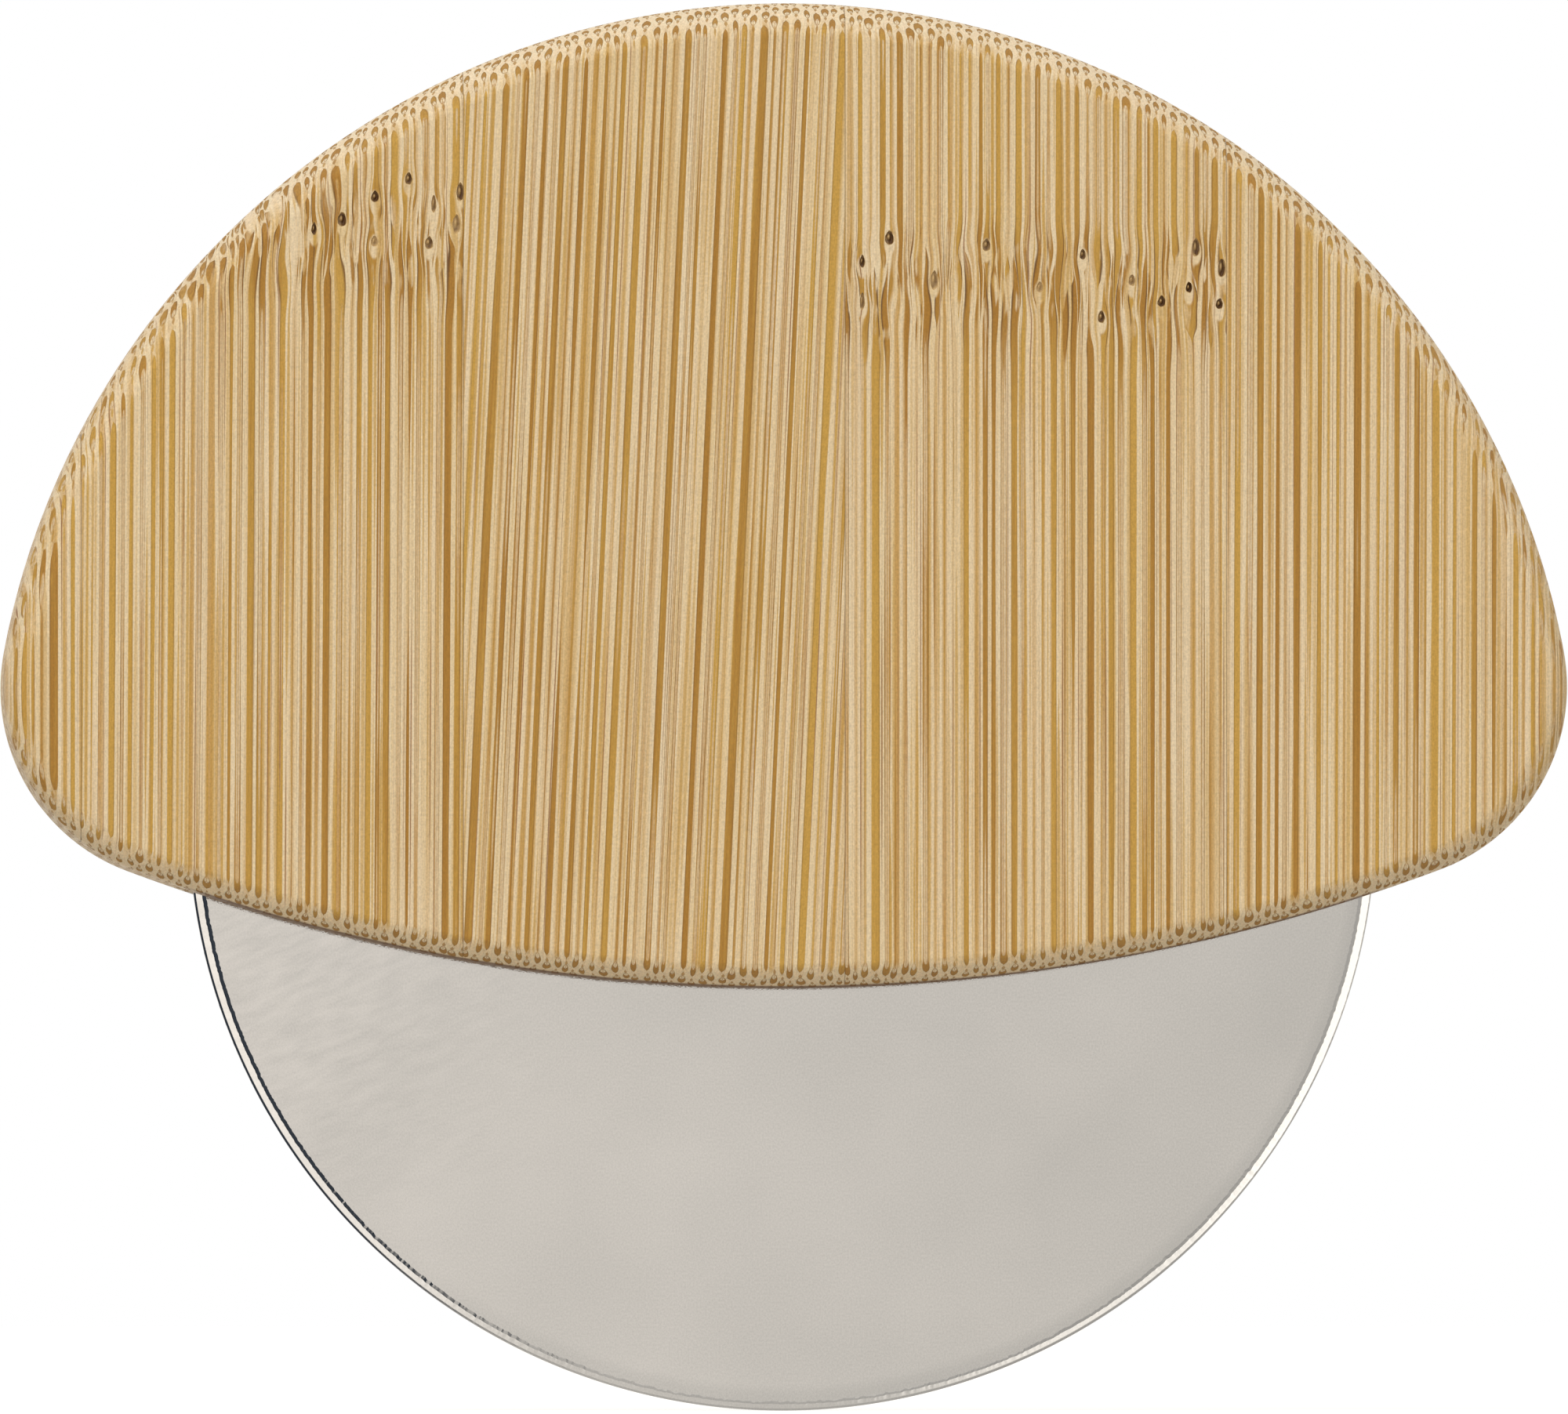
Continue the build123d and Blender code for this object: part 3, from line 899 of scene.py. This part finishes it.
def build_slats(board_name):
    """The five slats of a board, as pieces. The first and the last have no glue joint on their outer side."""
    names = SLATS[board_name]
    boxes = [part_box(name) for name in names]
    inner_y, outer_y = sorted((boxes[1][0].y, boxes[1][1].y), key=abs)
    board = board_mesh(inner_y, outer_y)
    for name, (low, high) in zip(names, boxes):
        left = low.x if name != names[0] else -FAR
        right = high.x if name != names[-1] else FAR
        piece = add_piece(
            name + "_wood",
            part_off(board, left, right),
            [slat_material(name, outer_y, left, right), PIT],
            "handle",
            name,
        )
        cutters = slat_cutters(name, left, right, outer_y)
        if cutters.faces:
            cut_away(piece, cutters)
        smooth(piece, SLAT_SHARP)
    board.free()


# Wheel


def wheel_section(angle):
    """Half of the wheel's section, from bore to rim: each point's radius and half thickness."""
    face = WHEEL_HIGH.y
    rim = RIM_THICKNESS / 2
    ring = Vector((math.cos(angle), math.sin(angle), 0)) * (WHEEL_RADIUS / MM)
    ragged = sum(noise.noise(ring * waves) * strength for waves, strength in BORDER_WAVES)
    bevel_width = BEVEL_WIDTH - BEVEL_NARROWING * max(0, -math.sin(angle)) ** 2
    shoulder = WHEEL_RADIUS - bevel_width + ragged * BEVEL_WANDER
    edge = WHEEL_RADIUS - RIM_DEPTH
    ring_radii = (WHEEL_BORE_RADIUS, WHEEL_BORE_RADIUS + RING_AT_BORE, shoulder - RING_AT_BEVEL)
    points = [(radius, face) for radius in ring_radii]
    for along, down in BEVEL_SHARES:
        points.append((shoulder + (edge - shoulder) * along, face + (rim - face) * down))
    return points


def build_wheel():
    """The disc with its ground bevels, whose inner border is a little ragged."""
    wheel = bmesh.new()
    rings = []
    for step in range(WHEEL_SEGMENTS):
        angle = 2 * math.pi * step / WHEEL_SEGMENTS
        across, up = math.cos(angle), math.sin(angle)
        side = wheel_section(angle)
        side.append((WHEEL_RADIUS, side[-1][1] * RIM_CORNER_SHARE))
        section = side + [(r, -y) for r, y in reversed(side)]
        rings.append([wheel.verts.new((AXLE.x + r * across, y, AXLE.z + r * up)) for r, y in section])
    count = len(rings[0])
    for one, two in zip(rings, [*rings[1:], rings[0]]):
        for i in range(count):
            j = (i + 1) % count
            wheel.faces.new((one[i], one[j], two[j], two[i]))
    bmesh.ops.recalc_face_normals(wheel, faces=wheel.faces)
    steel = material("wheel_steel", steel_paint)
    piece = add_piece("cutting_disc", wheel, [steel], "wheel", "cutting_wheel")
    smooth(piece, WHEEL_SHARP)


def dress(node, made):
    """Gives a CAD node its material."""
    slots = frame["nodes"][node].data.materials
    slots.clear()
    slots.append(made)


build_slats("front")
build_slats("back")
build_wheel()

core_bamboo = material("core_bamboo", core_paint)
for name in frame["nodes"]:
    if name.startswith("core_"):
        dress(name, core_bamboo)
nylon = material("nylon", nylon_paint)
dress("hub_bush", nylon)
dress("thrust_washer", nylon)
dress("axle_pin", material("pin_steel", pin_paint))
dress("locating_dowels", material("dowel_wood", dowel_paint))


# Floor, light and camera

FLOOR_RADIUS = 4.0
FLOOR_SEGMENTS = 128
FLOOR_DARK = srgb(192, 186, 173)
FLOOR_LIGHT = srgb(197, 191, 178)
FLOOR_ROUGHNESS = 0.9
FLOOR_GLOSS = 0.1
FLOOR_LIFT = 0.75
WHITE = (1, 1, 1, 1)


def seen_share(tree):
    """1 for rays that come from the camera or a reflection, and 0 for the light on the object."""
    path = tree.nodes.new("ShaderNodeLightPath")
    seen = Term(tree, path.outputs["Is Camera Ray"])
    seen = seen.calc("MAXIMUM", Term(tree, path.outputs["Is Glossy Ray"]))
    return seen.calc("MAXIMUM", Term(tree, path.outputs["Is Transmission Ray"]))


def floor_paint(tree, shader):
    """A faintly cloudy pale floor. Its place is in metres."""
    x, y = object_place(tree, 1.0)[:2]
    clouds = cloud(tree, x * 3, y * 3, 0.0, 3.0)
    feed(tree, shader.inputs["Base Color"], blend_colours(tree, fade(clouds, -1, 1), FLOOR_DARK, FLOOR_LIGHT))
    shader.inputs["Roughness"].default_value = FLOOR_ROUGHNESS
    shader.inputs["Specular IOR Level"].default_value = FLOOR_GLOSS
    shader.inputs["Emission Color"].default_value = WHITE
    feed(tree, shader.inputs["Emission Strength"], seen_share(tree) * FLOOR_LIFT)


def build_floor():
    """A pale round floor under the wheel, lifted to white where no shadow falls."""
    disc = bmesh.new()
    bmesh.ops.create_circle(disc, cap_ends=True, segments=FLOOR_SEGMENTS, radius=FLOOR_RADIUS)
    mesh = bpy.data.meshes.new("floor")
    disc.to_mesh(mesh)
    disc.free()
    floor = bpy.data.objects.new("floor", mesh)
    bpy.context.scene.collection.objects.link(floor)
    mesh.materials.append(material("floor", floor_paint))
    floor.visible_glossy = False


KEY_PLACE = Vector((-0.5, -1.2, 1.3))
KEY_TARGET = Vector((0, 0, 0.05))
KEY_SIZE = 0.9
KEY_POWER = 15.5


def build_key_light():
    """One soft lamp in front, up and to the left, that reflections don't show."""
    light = bpy.data.lights.new("key", "AREA")
    light.shape = "SQUARE"
    light.size = KEY_SIZE
    light.energy = KEY_POWER
    lamp = bpy.data.objects.new("key", light)
    lamp.location = KEY_PLACE
    lamp.rotation_euler = (KEY_TARGET - KEY_PLACE).to_track_quat("-Z", "Y").to_euler()
    lamp.visible_glossy = False
    bpy.context.scene.collection.objects.link(lamp)


WORLD_LIGHT = 0.5

# Cards round the studio that only reflections show. The numbers are cosines of the angle from the front.
# The dark card reaches furthest forward on the left.
CARD_DARK = (0.035, 0.05, 0.075, 1.0)
DARK_START = -0.04
DARK_START_LEFT = 0.17
DARK_SPLIT = (-0.08, -0.14)
DARK_END = (-0.55, -0.45)
BRIGHT_START = (0.22, 0.30)
BRIGHT_END = (0.70, 0.60)


def card_strengths(tree):
    """How much of the dark and of the bright card lies in each direction."""
    aside, back = parts(shader_node(tree, "TexCoord", {}, "Generated"))[:2]
    front = back * -1
    left = fade(aside, -0.25, -0.6)
    right = fade(aside, 0.1, 0.5)
    far_right = fade(aside, 0.55, 0.85)
    low_right = fade(aside, 0.2, 0.45) * (1 - far_right)
    start = fade(aside, -0.5, -0.97) * (DARK_START_LEFT - DARK_START) + DARK_START
    start = start + low_right * 0.02 - far_right * 0.1
    outer = (left * 0.5 + 0.5) * fade(front, DARK_SPLIT[1], DARK_SPLIT[0])
    inner = fade(aside, -0.35, -0.7) * 0.73 + 0.25 + low_right * 0.12
    inner = inner * fade(front, *DARK_SPLIT)
    dark = (outer + inner) * fade(front - start, 0.04, -0.02) * fade(front, *DARK_END)
    bright = fade(front + far_right * 0.3, *BRIGHT_START) * fade(front, *BRIGHT_END)
    return dark, bright * (left * 0.4 + right * 0.8 + far_right * 0.6)


def build_world():
    """White to the camera and in reflections, apart from the two cards, and a soft light on all else."""
    world = bpy.data.worlds.new("studio")
    bpy.context.scene.world = world
    world.use_nodes = True
    tree = world.node_tree
    dark, bright = card_strengths(tree)
    path = tree.nodes.new("ShaderNodeLightPath")
    glossy = Term(tree, path.outputs["Is Glossy Ray"])
    strength = seen_share(tree) * (1 - WORLD_LIGHT) + WORLD_LIGHT + bright * glossy
    background = tree.nodes["Background"]
    feed(tree, background.inputs["Color"], blend_colours(tree, dark * glossy, WHITE, CARD_DARK))
    feed(tree, background.inputs["Strength"], strength)


# The camera's angles are in degrees, to the right of the front and up from level
CAMERA_DISTANCE = 2.6
CAMERA_AZIMUTH = -2.2
CAMERA_ELEVATION = -0.8
AIM = Vector((0.1 * MM, 0, (HANDLE_TOP + WHEEL_LOW.z) / 2 + 0.08 * MM))
FRAMED_WIDTH = 100.5 * MM
CLIP_START = 0.05
CLIP_END = 20


def build_camera():
    """The photo's view: a long lens, a little from the left and from below."""
    azimuth = math.radians(CAMERA_AZIMUTH)
    elevation = math.radians(CAMERA_ELEVATION)
    level = math.cos(elevation)
    back = Vector((math.sin(azimuth) * level, -math.cos(azimuth) * level, math.sin(elevation)))
    data = bpy.data.cameras.new("camera")
    camera = bpy.data.objects.new("camera", data)
    bpy.context.scene.collection.objects.link(camera)
    camera.location = AIM + back * CAMERA_DISTANCE
    camera.rotation_mode = "QUATERNION"
    camera.rotation_quaternion = (-back).to_track_quat("-Z", "Y")
    data.lens = data.sensor_width * CAMERA_DISTANCE / FRAMED_WIDTH
    data.clip_start = CLIP_START
    data.clip_end = CLIP_END
    bpy.context.scene.camera = camera


build_floor()
build_world()
build_key_light()
build_camera()
bpy.context.scene.view_settings.view_transform = "Standard"
